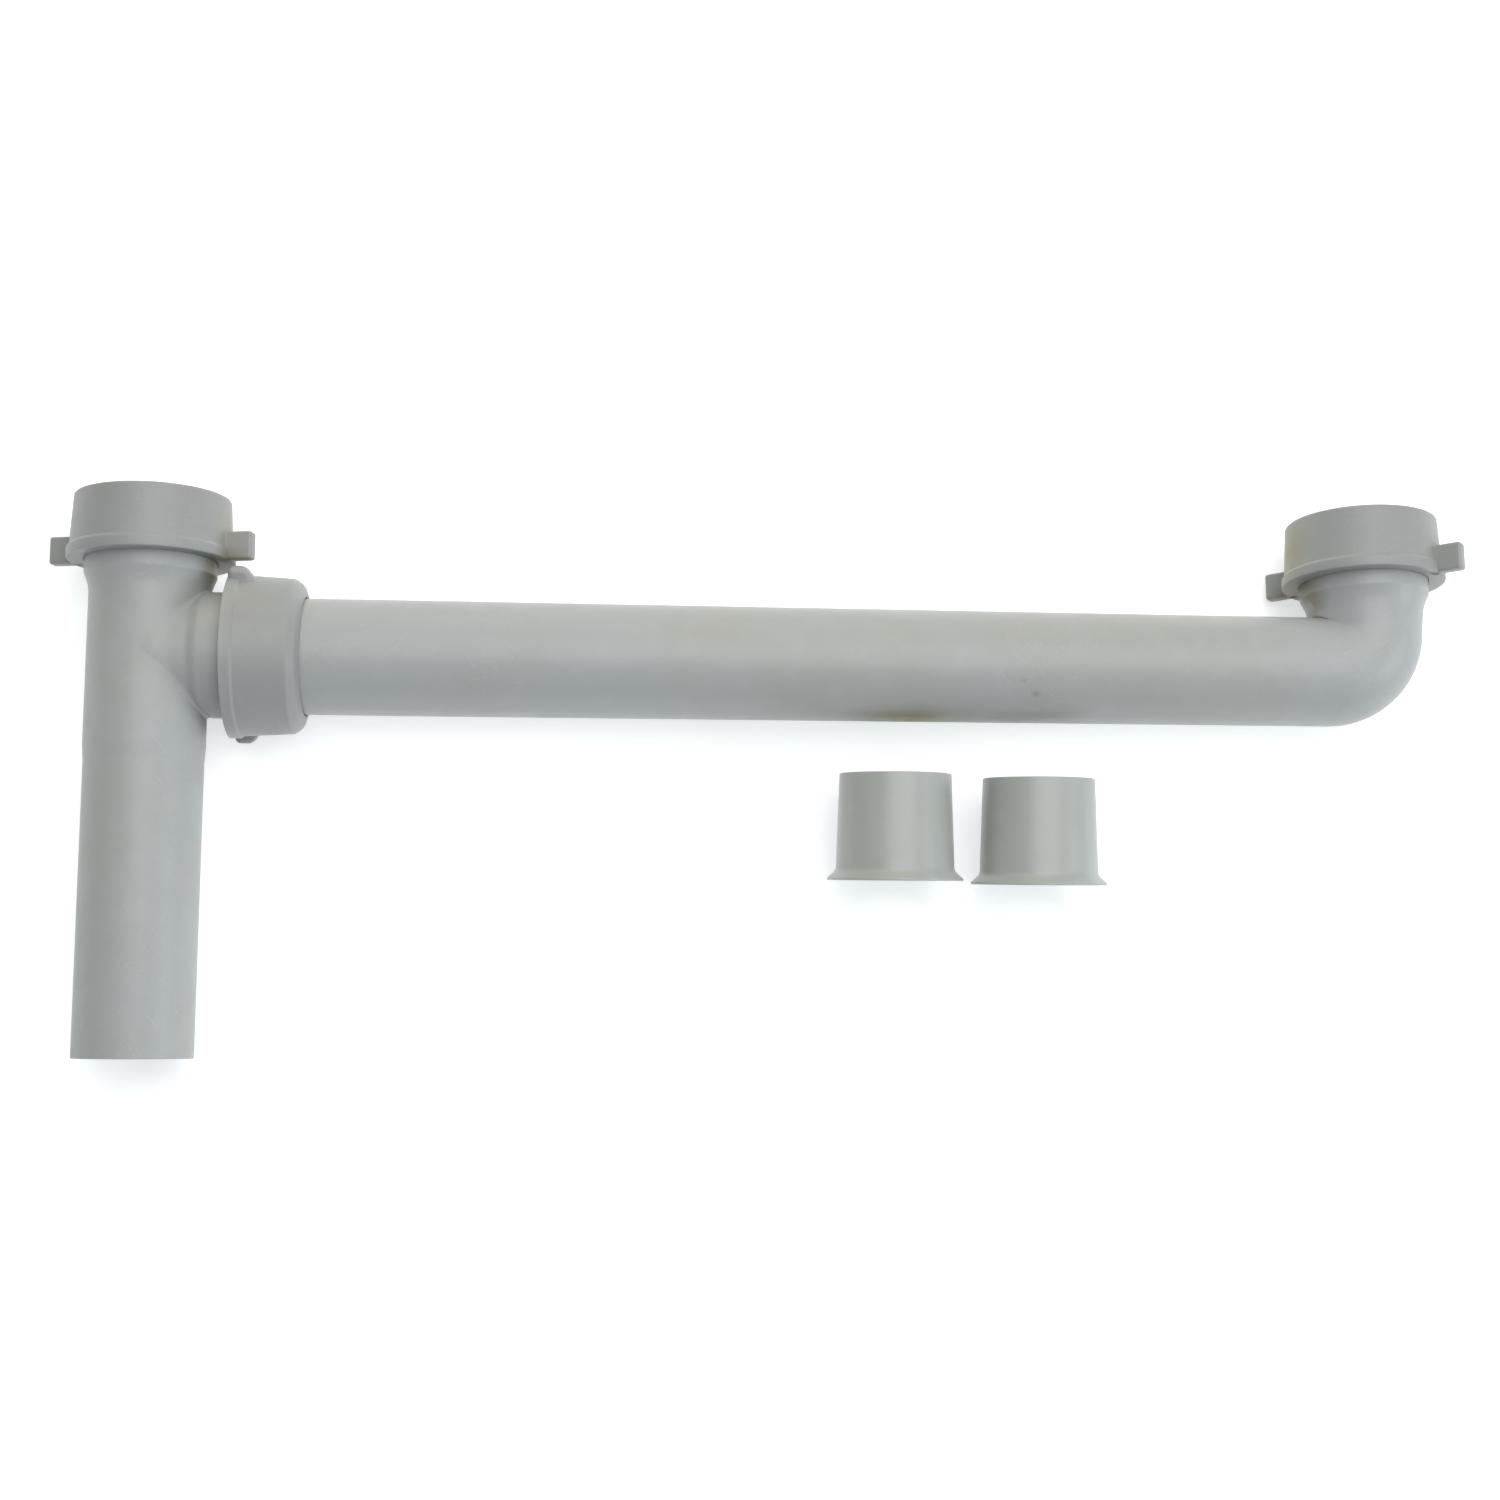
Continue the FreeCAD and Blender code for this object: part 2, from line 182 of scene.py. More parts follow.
def helix(along, around, start, end, depth):
    """Height of a right-hand thread over its root, fading out at both ends."""
    valley, flank, run_out = 0.22, 0.5, 1.6
    turn = along / PITCH - around / (2.0 * math.pi)
    wave = np.abs((turn % 1.0) * 2.0 - 1.0)
    ridge = smooth((wave - valley) / flank)
    fade = smooth((along - start) / run_out) * smooth((end - along) / run_out)
    return depth * ridge * fade


def capped(rows):
    """The rings of a rod, with both ends drawn together at their middles."""
    ends = [np.repeat(ring[:-1].mean(axis=0)[None, :], len(ring), axis=0)
            for ring in (rows[0], rows[-1])]
    return np.array([ends[0], *rows, ends[1]])


class Shell:
    """Grids of points, in millimetres, joined into one closed mesh."""

    def __init__(self):
        self.points = []
        self.quads = []
        self.total = 0

    def grid(self, points, closed=False):
        """points has shape (rows, columns, 3); closed joins the last row to the first."""
        rows, columns = points.shape[:2]
        self.points.append(points.reshape(-1, 3))
        last = rows if closed else rows - 1
        row = np.arange(last)[:, None]
        column = np.arange(columns - 1)[None, :]
        here = self.total + row * columns + column
        above = self.total + ((row + 1) % rows) * columns + column
        quads = np.stack((here, here + 1, above + 1, above), axis=-1)
        self.quads.append(quads.reshape(-1, 4))
        self.total += rows * columns

    def lathe(self, profile, closed=False, thread=None, origin=(0, 0, 0), along="z"):
        """Turns (radius, along) points round an axis through origin."""
        around = angles()[None, :]
        radius = np.repeat(profile[:, :1], AROUND + 1, axis=1)
        height = np.repeat(profile[:, 1:], AROUND + 1, axis=1)
        if thread is not None:
            radius = radius + thread(radius, height, around)
        first, second = radius * np.cos(around), radius * np.sin(around)
        axes = {"z": (first, second, height), "y": (first, height, second),
                "x": (height, second, first)}[along]
        self.grid(np.stack(axes, axis=-1) + np.array(origin, float), closed)

    def build(self, name, placement, body, node):
        """Makes the piece, which rides on body and shows instead of the CAD node."""
        mesh = bpy.data.meshes.new(name)
        points = np.concatenate(self.points) * MM
        mesh.from_pydata(points.tolist(), [], np.concatenate(self.quads).tolist())
        work = bmesh.new()
        work.from_mesh(mesh)
        bmesh.ops.remove_doubles(work, verts=work.verts, dist=WELD)
        bmesh.ops.dissolve_degenerate(work, edges=work.edges, dist=COLLAPSED)
        bmesh.ops.recalc_face_normals(work, faces=work.faces)
        open_edges = [edge for edge in work.edges if not edge.is_manifold]
        if open_edges:
            raise RuntimeError("%s has %d open edges, first at %s" % (
                name, len(open_edges), open_edges[0].verts[0].co[:]))
        work.to_mesh(mesh)
        work.free()
        mesh.transform(placement)
        mesh.shade_smooth()
        mesh.set_sharp_from_angle(angle=math.radians(SHARP))
        piece = bpy.data.objects.new(name, mesh)
        bpy.context.scene.collection.objects.link(piece)
        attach(piece, body)
        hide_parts(node)
        return piece


# ---------------------------------------------------------------- junctions of tubes


def neck_rise(height, most):
    """Eased start of an inlet's taper: 0 at its foot and most at the neck."""
    lead_in, ease = 1.0, 1.7
    foot = TAPER_FOOT - lead_in
    share = np.clip((height - foot) / (TAPER_HEAD - foot), 0.0, 1.0)
    return most * share ** ease


def run_swell(height):
    """How far the tee's run stands out from the tube, by height above the branch's axis."""
    return RUN - TUBE + neck_rise(height, NECK - RUN)


def arm_swell(along, is_outside):
    """How far the drafted arm stands out from its bend, by distance from the tee's axis."""
    most = TUBE - BEND_TUBE if is_outside else BORE - BEND_BORE
    return np.interp(along, (ARM_PARALLEL, CENTRES - BEND), (most, 0.0))


def leg_swell(height, is_outside):
    """How far the elbow's leg stands out from its bend, by height above the arm's axis."""
    if is_outside:
        draft = np.interp(height, (BEND, TAPER_FOOT), (0.0, TUBE - BEND_TUBE))
        return draft + neck_rise(height, NECK - TUBE)
    return np.interp(height, (BEND, FLANGE_TOP), (0.0, BORE - BEND_BORE))


def branch_swell(distance):
    """How far the branch stands out from the tube, by distance from the tee's axis.

    It starts level with the heavier run, so that the saddle fades out at its apex."""
    fairing = 12.0
    rise = np.clip((distance - COLLAR_FOOT) / (COLLAR_HEAD - COLLAR_FOOT), 0, 1)
    return (COLLAR - TUBE) * rise + run_swell(0.0) * (1.0 - smooth(distance / fairing))


def crotch_blend(radius, u, v, n):
    """Height that softens the crease where the branch's crown runs into the run's."""
    width, apex_fade, side_fade = 2.6, 10.0, 6.0
    run_height = np.sqrt(np.maximum(radius ** 2 - u ** 2, 0.0))
    branch_height = np.sqrt(np.maximum(radius ** 2 - v ** 2, 0.0))
    nearness = np.maximum(width - np.abs(run_height - branch_height), 0.0)
    blended = np.maximum(run_height, branch_height) + nearness ** 2 / (4.0 * width)
    fade = smooth(u / apex_fade) * smooth((radius - u) / side_fade)
    fade = fade * smooth((radius - np.abs(v)) / side_fade)
    return np.sign(n) * fade * np.maximum(blended - np.abs(n), 0.0)


def tee_junction(shell, radius, round_over, is_outside):
    """Where the branch (local X) meets the run (local Y): the saddle and the plain back half.

    Each line of the saddle runs in along the branch, round the crotch and out along the run.
    share is 1 on the branch and 0 on the run, and lift is the other way round."""
    branch_rows, crotch_rows, run_rows = 30, 9, 45
    lines = AROUND // 2 + 1
    inward = np.linspace(1.0, 0.0, branch_rows)
    arc = np.linspace(0.0, 1.0, crotch_rows)[1:]
    outward = np.linspace(0.0, 1.0, run_rows)[1:]
    quarter = arc * math.pi / 2
    share = np.concatenate((np.ones(len(inward)), 1 - arc, np.zeros(len(outward))))
    lift = np.concatenate((np.zeros(len(inward)), arc, np.ones(len(outward))))
    for side in (1.0, -1.0):
        rows = []
        for angle in np.linspace(0.0, math.pi, lines):
            sine, cosine = math.sin(angle), math.cos(angle)
            if abs(sine) < SAME:
                sine = 0.0
            edge = radius * sine
            # Nothing at the crown, nearly all of it soon after, and round_over in the crotch.
            turn = round_over * sine * (2.5 - 1.5 * sine)
            start = edge + turn
            u = np.concatenate((start + inward * (BRANCH_RING - start),
                                start - turn * np.sin(quarter),
                                np.full(len(outward), edge)))
            v = np.concatenate((np.full(len(inward), edge),
                                edge + turn * (1 - np.cos(quarter)),
                                start + outward * (LEG_RING - start)))
            n = np.full(len(u), radius * cosine)
            if is_outside:
                out = share * branch_swell(u)
                grow = lift * run_swell(side * v)
                soft = crotch_blend(radius, u, v, n)
                u, v, n = u + grow * sine, v + out * sine, n + (out + grow) * cosine + soft
            rows.append(np.stack((u, side * v, n), axis=-1))
        shell.grid(np.array(rows))
    half = np.concatenate((-np.linspace(0.0, 1.0, run_rows)[::-1], outward)) * LEG_RING
    around = np.linspace(math.pi / 2, 1.5 * math.pi, lines)[None, :]
    height = np.repeat(half[:, None], lines, axis=1)
    reach = np.full_like(height, radius)
    if is_outside:
        reach = reach + run_swell(height)
    shell.grid(np.stack((reach * np.cos(around), height, reach * np.sin(around)), axis=-1))


def elbow_tube(shell, is_outside):
    """Drafted tube along local X that turns up local Y in one tight bend."""
    tube_rows, bend_rows, leg_rows = 60, 25, 40
    softening = 1.6
    radius = BEND_TUBE if is_outside else BEND_BORE
    straight = np.linspace(0.0, 1.0, tube_rows)
    arc = np.linspace(0.0, 1.0, bend_rows)[1:]
    rise = np.linspace(0.0, 1.0, leg_rows)[1:]
    quarter = arc * math.pi / 2
    rows = []
    for angle in angles():
        sine, cosine = math.sin(angle), math.cos(angle)
        inward = radius * sine
        slack = BEND - inward
        bend = 0.5 * (slack + math.sqrt(slack * slack + softening))
        turn_u, turn_v = CENTRES - inward - bend, inward + bend
        tube_u = ARM_RING + straight * (turn_u - ARM_RING)
        leg_v = turn_v + rise * (LEG_RING - turn_v)
        tube_grow = arm_swell(tube_u, is_outside)
        leg_grow = leg_swell(leg_v, is_outside)
        u = np.concatenate((tube_u, turn_u + bend * np.sin(quarter),
                            CENTRES - inward - leg_grow * sine))
        v = np.concatenate((inward + tube_grow * sine, turn_v - bend * np.cos(quarter), leg_v))
        grow = np.concatenate((tube_grow, np.zeros(len(arc)), leg_grow))
        rows.append(np.stack((u, v, (radius + grow) * cosine), axis=-1))
    shell.grid(np.array(rows))


def inlet_head(bore):
    """Neck, captive flange and the way back down to the bore, from LEG_RING to LEG_RING."""
    return outline((
        (NECK, LEG_RING, 0),
        (NECK, FLANGE_FOOT, 0.3),
        (FLANGE, FLANGE_FOOT, 0.25),
        (FLANGE, FLANGE_TOP, 0.35),
        (BORE, FLANGE_TOP, 0.4),
        (bore, LEG_RING, 0),
    ))


# ---------------------------------------------------------------- small rounded plates


def rounded_section(half_width, low, high, rounding):
    """Closed rounded rectangle of (width, height) points, starting and ending on one point."""
    steps = 5
    corners = ((half_width, high, 0), (-half_width, high, 90), (-half_width, low, 180),
               (half_width, low, 270))
    points = []
    for width, height, turn in corners:
        centre_w = width - math.copysign(rounding, width)
        centre_h = height - (rounding if height == high else -rounding)
        for step in range(steps + 1):
            angle = math.radians(turn + 90.0 * step / steps)
            points.append((centre_w + rounding * math.cos(angle),
                           centre_h + rounding * math.sin(angle)))
    points.append(points[0])
    return np.array(points)


def wing(shell, root, tip, heights, thickness, rounding, flare):
    """A pair of gripping wings along local X, from height 0 up, with flared roots.

    heights are those at the root and at the tip."""
    flare_length, flare_rows, tip_rows = 3.4, 9, 7
    least_rounding, flare_up = 0.12, 0.9
    stations = []
    for reach in np.linspace(root, root + flare_length, flare_rows):
        closeness = 1.0 - min(1.0, (reach - root) / flare_length)
        stations.append((reach, flare * (1.0 - math.sqrt(1.0 - closeness ** 2)), 0.0))
    for angle in np.linspace(0.0, math.pi / 2, tip_rows):
        stations.append((tip - rounding + rounding * math.sin(angle), 0.0,
                         rounding * (1.0 - math.cos(angle))))
    rows = []
    for reach, spread, inset in stations:
        half_width = thickness / 2 + spread - inset
        height = np.interp(reach, (root, tip), heights)
        section = rounded_section(half_width, inset, height + spread * flare_up - inset,
                                  max(least_rounding, rounding - inset))
        rows.append(np.column_stack((np.full(len(section), reach), section[:, 0], section[:, 1])))
    rows = capped(rows)
    shell.grid(rows)
    shell.grid(rows * np.array((-1.0, -1.0, 1.0)))


# ---------------------------------------------------------------- the pieces


def make_baffle(shell):
    """Flat wall across the run that keeps one bowl's water out of the other's inlet."""
    place, half_thickness, half_width = 7.7, 0.7, 16.5
    foot, top, rounding = -26.0, 21.0, 0.15
    edge = ((0.0, 0.5), (0.2, 0.1), (0.6, 0.0))    # distances from an end, and insets there
    rings = [(foot + distance, inset) for distance, inset in edge]
    rings += [(top - distance, inset) for distance, inset in reversed(edge)]
    rows = []
    for height, inset in rings:
        section = rounded_section(half_thickness - inset, -half_width, half_width, rounding)
        rows.append(np.column_stack((place + section[:, 0], np.full(len(section), height),
                                     section[:, 1])))
    shell.grid(capped(rows))


def make_tee():
    shell = Shell()
    tee_junction(shell, TUBE, round_over=2.2, is_outside=True)
    tee_junction(shell, BORE, round_over=0.7, is_outside=False)
    shell.lathe(inlet_head(BORE), along="y")
    run_taper = 5.0
    shell.lathe(outline((
        (RUN, -LEG_RING, 0),
        (RUN, -RUN_FOOT, 6.0),
        (TUBE, -RUN_FOOT - run_taper, 6.0),
        (TUBE, TAIL_END, 0.35),
        (BORE, TAIL_END, 0.35),
        (BORE, -LEG_RING, 0),
    )), along="y")
    thread_start, thread_end = THREAD_FOOT + 1.2, BRANCH_END - 0.8
    thread_depth, lead_in = 0.95, 2.95
    outside = outline((
        (COLLAR, BRANCH_RING, 0),
        (COLLAR, THREAD_FOOT, 0.5),
        (THREAD_ROOT, THREAD_FOOT + 0.4, 0.3),
        (THREAD_ROOT, thread_start, 0),
    ))
    thread = threaded_stretch(THREAD_ROOT, thread_start + 0.2, thread_end - 0.2)
    inside = outline((
        (THREAD_ROOT, thread_end, 0),
        (THREAD_ROOT, BRANCH_END, 0.4),
        (THREAD_ROOT - 0.3, BRANCH_END, 0.2),
        (SOCKET, BRANCH_END - lead_in, 0.3),
        (SOCKET, SOCKET_FLOOR, 0.2),
        (BORE, SOCKET_FLOOR, 0.2),
        (BORE, BRANCH_RING, 0),
    ))

    def ridges(radius, height, around):
        on_thread = np.abs(radius - THREAD_ROOT) < SAME
        return helix(height, around, thread_start, thread_end, thread_depth) * on_thread

    shell.lathe(np.concatenate((outside, thread, inside)), thread=ridges, along="x")
    make_baffle(shell)
    return shell.build("tee_moulding", tee_place, "tee", "tee_body")


def make_arm():
    shell = Shell()
    elbow_tube(shell, is_outside=True)
    elbow_tube(shell, is_outside=False)
    shell.lathe(outline((
        (BORE, ARM_RING, 0),
        (BORE, ARM_FOOT, 0.3),
        (TUBE, ARM_FOOT, 0.7),
        (TUBE, ARM_RING, 0),
    )), along="x")
    ring_bore = BEND_BORE + float(leg_swell(LEG_RING, False))
    shell.lathe(inlet_head(ring_bore), origin=(CENTRES, 0, 0), along="y")
    return shell.build("arm_moulding", arm_place, "arm", "waste_arm")


def make_coupling_nut(name, placement, body, node):
    """Winged nut, with height 0 at its lip round the inlet's neck."""
    shell = Shell()
    hole, chamber, mouth = 21.35, 23.6, 23.3
    crest, root = 22.6, 23.75
    skirt_foot, skirt_top = 26.12, 25.1
    ledge, flange_top, shoulder, thread_foot, top = 3.0, 3.3, 4.3, 6.4, 21.4
    fade_in, runs_past = 1.2, 1.0
    outside = outline((
        (hole, ledge, 0.25),
        (hole, 0.0, 0.3),
        (NUT_FLANGE, 0.0, 0.55),
        (NUT_FLANGE, flange_top, 0.6),
        (skirt_foot, shoulder, 0.5),
        (skirt_top, top, 1.0),
        (mouth, top, 0.35),
        (crest, top - 0.7, 0),
    ))
    thread = threaded_stretch(crest, top - 0.8, thread_foot + 0.2)
    inside = outline((
        (crest, thread_foot, 0.15),
        (chamber, thread_foot, 0.2),
        (chamber, ledge, 0.3),
    ))

    def grooves(radius, height, around):
        on_thread = np.abs(radius - crest) < SAME
        depth = (root - crest) * smooth((height - thread_foot - 0.1) / fade_in)
        ridge = helix(height, around, thread_foot, top + runs_past, root - crest)
        return (depth - ridge) * on_thread

    profile = np.concatenate((outside[1:], thread, inside, outside[:1]))
    shell.lathe(profile, closed=True, thread=grooves)
    wing(shell, root=24.0, tip=34.8, heights=(9.3, 9.3), thickness=4.6, rounding=1.0, flare=1.1)
    return shell.build(name, placement, body, node)


def make_slip_nut():
    """Nut that closes the slip joint, with height 0 at its open end towards the tee."""
    shell = Shell()
    hole, mouth = 19.45, 25.6
    crest, root = 23.4, 24.5
    skirt_foot, skirt_top, cone_foot, cone_top = 26.3, 25.4, 23.6, 20.2
    flange_top, shoulder, skirt_end, cone_start, top = 3.2, 4.1, 20.6, 23.0, 24.2
    thread_foot, thread_top, ceiling = 1.4, 19.4, 21.5
    foot_fade, top_fade = 0.8, 1.2
    outside = outline((
        (NUT_FLANGE, 0.0, 0.5),
        (NUT_FLANGE, flange_top, 0.6),
        (skirt_foot, shoulder, 0.5),
        (skirt_top, skirt_end, 1.8),
        (cone_foot, cone_start, 1.8),
        (cone_top, top, 0.8),
        (hole, top, 0.3),
        (hole, ceiling, 0.3),
        (crest, ceiling, 0.5),
        (crest, thread_top, 0),
    ))
    thread = threaded_stretch(crest, thread_top - 0.2, thread_foot + 0.2)
    inside = outline((
        (crest, thread_foot, 0),
        (crest + 0.9, 0.0, 0.2),
        (mouth, 0.0, 0),
    ))

    def grooves(radius, height, around):
        on_thread = np.abs(radius - crest) < SAME
        rise = smooth((height - thread_foot) / foot_fade)
        rise = rise * smooth((thread_top - 0.1 - height) / top_fade)
        ridge = helix(height, around, thread_foot, thread_top, root - crest)
        return ((root - crest) * rise - ridge) * on_thread

    profile = np.concatenate((outside[1:], thread, inside, outside[:1]))
    shell.lathe(profile, closed=True, thread=grooves)
    wing(shell, root=24.9, tip=30.1, heights=(9.2, 6.0), thickness=4.8, rounding=1.8, flare=1.2)
    turn = math.radians(SLIP_EARS)
    ears = tee_axis * math.cos(turn) + ALONG.cross(tee_axis) * math.sin(turn)
    placement = placed(crossing + ALONG * SLIP_NUT_FOOT * MM, ears, ALONG)
    return shell.build("slip_nut_moulding", placement, "slip_nut", "slip_nut")


def make_insert(letter):
    """Tapered sleeve that stands on its flange's edge, with its narrow end tilted up."""
    node = "flanged_insert_" + letter
    shell = Shell()
    length, flange_edge, flare_end = 35.2, 0.75, 3.3
    bore_foot, bore_top, wide, narrow = 18.4, 17.3, 19.55, 18.5
    shell.lathe(outline((
        (bore_foot, 0.0, 0.3),
        (INSERT_FLANGE, 0.0, 0.3),
        (INSERT_FLANGE, flange_edge, 0.35),
        (wide, flare_end, 2.4),
        (narrow, length, 0.4),
        (bore_top, length, 0.35),
    ), closed=True), closed=True)
    low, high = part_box(node)
    tilt = math.radians(INSERT_TILT)
    axis = Vector((0.0, math.cos(tilt), math.sin(tilt)))
    foot = Vector(((low.x + high.x) / 2, low.y + INSERT_FLANGE * MM * math.sin(tilt),
                   INSERT_FLANGE * MM * math.cos(tilt)))
    placement = placed(foot, ALONG, axis)
    return shell.build("insert_%s_moulding" % letter, placement, "insert_" + letter,
                       node)


tee = make_tee()
arm = make_arm()
left_nut = make_coupling_nut("left_nut_moulding", left_nut_place, "left_nut", "left_coupling_nut")
right_nut = make_coupling_nut("right_nut_moulding", right_nut_place, "right_nut",
                              "right_coupling_nut")
slip_nut = make_slip_nut()
insert_a = make_insert("a")
insert_b = make_insert("b")

# ---------------------------------------------------------------- materials


class Look:
    """One procedural material, worked out in a piece's own frame in millimetres."""

    def __init__(self, name, placement):
        self.material = bpy.data.materials.new(name)
        self.material.use_nodes = True
        self.tree = self.material.node_tree
        self.shader = self.tree.nodes["Principled BSDF"]
        mapping = self.node("ShaderNodeMapping")
        mapping.vector_type = "TEXTURE"
        mapping.inputs["Location"].default_value = placement.translation
        mapping.inputs["Rotation"].default_value = placement.to_euler()
        mapping.inputs["Scale"].default_value = (MM, MM, MM)
        where = self.node("ShaderNodeTexCoord")
        self.feed(mapping.inputs["Vector"], where.outputs["Object"])
        self.point = mapping.outputs["Vector"]
        bend = self.node("ShaderNodeNewGeometry").outputs["Pointiness"]
        self.ridge = self.between(bend, 0.515, 0.58)
        # Concave places, darkened below as dirt and painted shade in the hollows.
        self.hollow_dirt_and_shade = self.between(bend, 0.485, 0.42)

    def node(self, kind):
        return self.tree.nodes.new(kind)

    def feed(self, socket, value):
        """Links a node's output to a socket, or sets the socket to a plain value."""
        if isinstance(value, bpy.types.NodeSocket):
            self.tree.links.new(value, socket)
        else:
            socket.default_value = value

    def math(self, operation, *values):
        node = self.node("ShaderNodeMath")
        node.operation = operation
        for socket, value in zip(node.inputs, values):
            self.feed(socket, value)
        return node.outputs["Value"]

    def total(self, *terms):
        """Sum of (value, weight) terms."""
        result = 0.0
        for value, weight in terms:
            result = self.math("MULTIPLY_ADD", value, weight, result)
        return result

    def between(self, value, low, high):
        """0 at low, 1 at high and smooth in between."""
        node = self.node("ShaderNodeMapRange")
        node.interpolation_type = "SMOOTHSTEP"
        self.feed(node.inputs["Value"], value)
        node.inputs["From Min"].default_value = min(low, high)
        node.inputs["From Max"].default_value = max(low, high)
        node.inputs["To Min"].default_value = 0.0 if low < high else 1.0
        node.inputs["To Max"].default_value = 1.0 if low < high else 0.0
        return node.outputs["Result"]

    def noise(self, size, detail, stretch=(1.0, 1.0, 1.0), turn=(0.0, 0.0, 0.0)):
        """Noise with features of about size millimetres, longer where stretch is larger."""
        mapping = self.node("ShaderNodeMapping")
        mapping.vector_type = "TEXTURE"
        mapping.inputs["Rotation"].default_value = turn
        mapping.inputs["Scale"].default_value = stretch
        self.feed(mapping.inputs["Vector"], self.point)
        texture = self.node("ShaderNodeTexNoise")
        self.feed(texture.inputs["Vector"], mapping.outputs["Vector"])
        texture.inputs["Scale"].default_value = 1.0 / size
        texture.inputs["Detail"].default_value = detail
        return texture.outputs["Fac"]

    def blend(self, factor, below, above):
        """The colour below at 0 and the colour above at 1."""
        # The node's sockets for colours are its inputs 6 and 7 and its output 2.
        node = self.node("ShaderNodeMix")
        node.data_type = "RGBA"
        self.feed(node.inputs[0], factor)
        for socket, colour in ((node.inputs[6], below), (node.inputs[7], above)):
            self.feed(socket, colour if isinstance(colour, bpy.types.NodeSocket) else (*colour, 1))
        return node.outputs[2]

    def spot(self, centre, reach):
        """1 at a point of the piece's frame, 0 an ellipsoid's reach away from it."""
        offset = self.node("ShaderNodeMapping")
        offset.vector_type = "TEXTURE"
        offset.inputs["Location"].default_value = centre
        offset.inputs["Scale"].default_value = reach
        self.feed(offset.inputs["Vector"], self.point)
        length = self.node("ShaderNodeVectorMath")
        length.operation = "LENGTH"
        self.feed(length.inputs[0], offset.outputs["Vector"])
        return self.between(length.outputs["Value"], 1.0, 0.0)


def scaled(colour, by):
    return tuple(channel * by for channel in colour)


def scratches(look, size, turn):
    """Thin straight rub marks that come and go in patches."""
    lines = look.between(look.noise(size, 1.0, (60.0, 1.0, 1.0), turn), 0.665, 0.70)
    patches = look.between(look.noise(34.0, 1.0), 0.50, 0.62)
    return look.math("MULTIPLY", lines, patches)


def moulded_plastic(name, placement, tone, roughness, is_split=False, marks=()):
    """Satin moulded plastic: cloudy tone, fine grain, flow ripple, rubbed edges and scratches.

    A split piece shows its mould's parting line where local Z is 0. marks are dark specks,
    painted shade and painted brown reflections, each one its centre and reach in the piece's
    own frame, its colour and its strength."""
    look = Look(name, placement)
    cloud = look.noise(46.0, 3.0)
    patch = look.noise(9.0, 3.0)
    speck = look.between(look.noise(0.9, 2.0), 0.66, 0.76)
    rub = look.between(look.noise(15.0, 4.0), 0.54, 0.70)
    lines = look.math("MAXIMUM", scratches(look, 0.45, (0.0, 0.0, 0.5)),
                      scratches(look, 0.6, (0.0, 0.3, -0.9)))

    warm = (tone[0] * 0.985, tone[1] * 0.98, tone[2] * 0.945)
    cool = (tone[0] * 1.005, tone[1] * 1.015, tone[2] * 1.035)
    colour = look.blend(look.between(cloud, 0.36, 0.64), warm, cool)
    layers = [
        (look.between(patch, 0.48, 0.70), 0.35, scaled(tone, 1.08)),    # pale patches
        (speck, 0.24, scaled(warm, 0.62)),                              # dark specks
        (lines, 0.36, scaled(tone, 1.28)),                              # scratches
        (look.ridge, 0.38, scaled(tone, 1.30)),                         # rubbed edges
        (look.hollow_dirt_and_shade, 0.42, scaled(warm, 0.60)),                        # dirt and painted shade in the hollows
    ]
    # Each mark lays its colour on the piece: a dark speck, painted shade or a painted brown
    # reflection.
    for centre, reach, mark_colour, strength in marks:
        uneven = look.between(patch, 0.20, 0.50)
        here = look.math("MULTIPLY", look.spot(centre, reach), uneven)
        layers.append((here, strength, mark_colour))
    for mask, strength, top in layers:
        colour = look.blend(look.math("MULTIPLY", mask, strength), colour, top)
    look.feed(look.shader.inputs["Base Color"], colour)

    grain = look.noise(0.35, 2.0)
    grain_share = 0.10
    dull = look.total((grain, grain_share), (rub, 0.10), (lines, 0.16), (look.ridge, -0.06))
    dull = look.math("ADD", dull, roughness - grain_share / 2)
    look.feed(look.shader.inputs["Roughness"], dull)

    # Heights in millimetres.
    orange_peel = look.noise(2.2, 2.0)
    ripple = look.noise(13.0, 1.0)
    height = look.total((grain, 0.014), (orange_peel, 0.026), (ripple, 0.10), (lines, -0.014),
                        (rub, 0.006))
    if is_split:
        split = look.node("ShaderNodeSeparateXYZ")
        look.feed(split.inputs["Vector"], look.point)
        seam = look.between(look.math("ABSOLUTE", split.outputs["Z"]), 0.30, 0.05)
        height = look.total((height, 1.0), (seam, 0.05))
    bump = look.node("ShaderNodeBump")
    bump.inputs["Distance"].default_value = MM
    look.feed(bump.inputs["Height"], height)
    look.feed(look.shader.inputs["Normal"], bump.outputs["Normal"])

    look.shader.inputs["IOR"].default_value = 1.49
    look.shader.inputs["Subsurface Weight"].default_value = 0.10
    look.shader.inputs["Subsurface Radius"].default_value = (1.0, 0.95, 0.85)
    look.shader.inputs["Subsurface Scale"].default_value = 1.5 * MM
    return look.material


def paint(piece, *settings, **options):
    """Gives a piece moulded plastic with these settings."""
    piece.data.materials.append(moulded_plastic(*settings, **options))


# Linear colours of the plastics, of the painted shade and painted brown reflections, and of the
# dark specks.
TUBE_TONE = (0.374, 0.381, 0.374)
NUT_TONE = (0.302, 0.304, 0.298)
INSERT_TONE = (0.384, 0.398, 0.382)
WASHER_TONE = (0.60, 0.61, 0.58)
# Painted reflection of a brown surface; on the nuts it is laid with painted shade.
BROWN_REFLECTION = (0.265, 0.225, 0.105)
# Painted shade, tinted brown, where a nut meets its neck.
BROWN_SHADE = (0.17, 0.135, 0.065)
SPECK = (0.16, 0.16, 0.15)

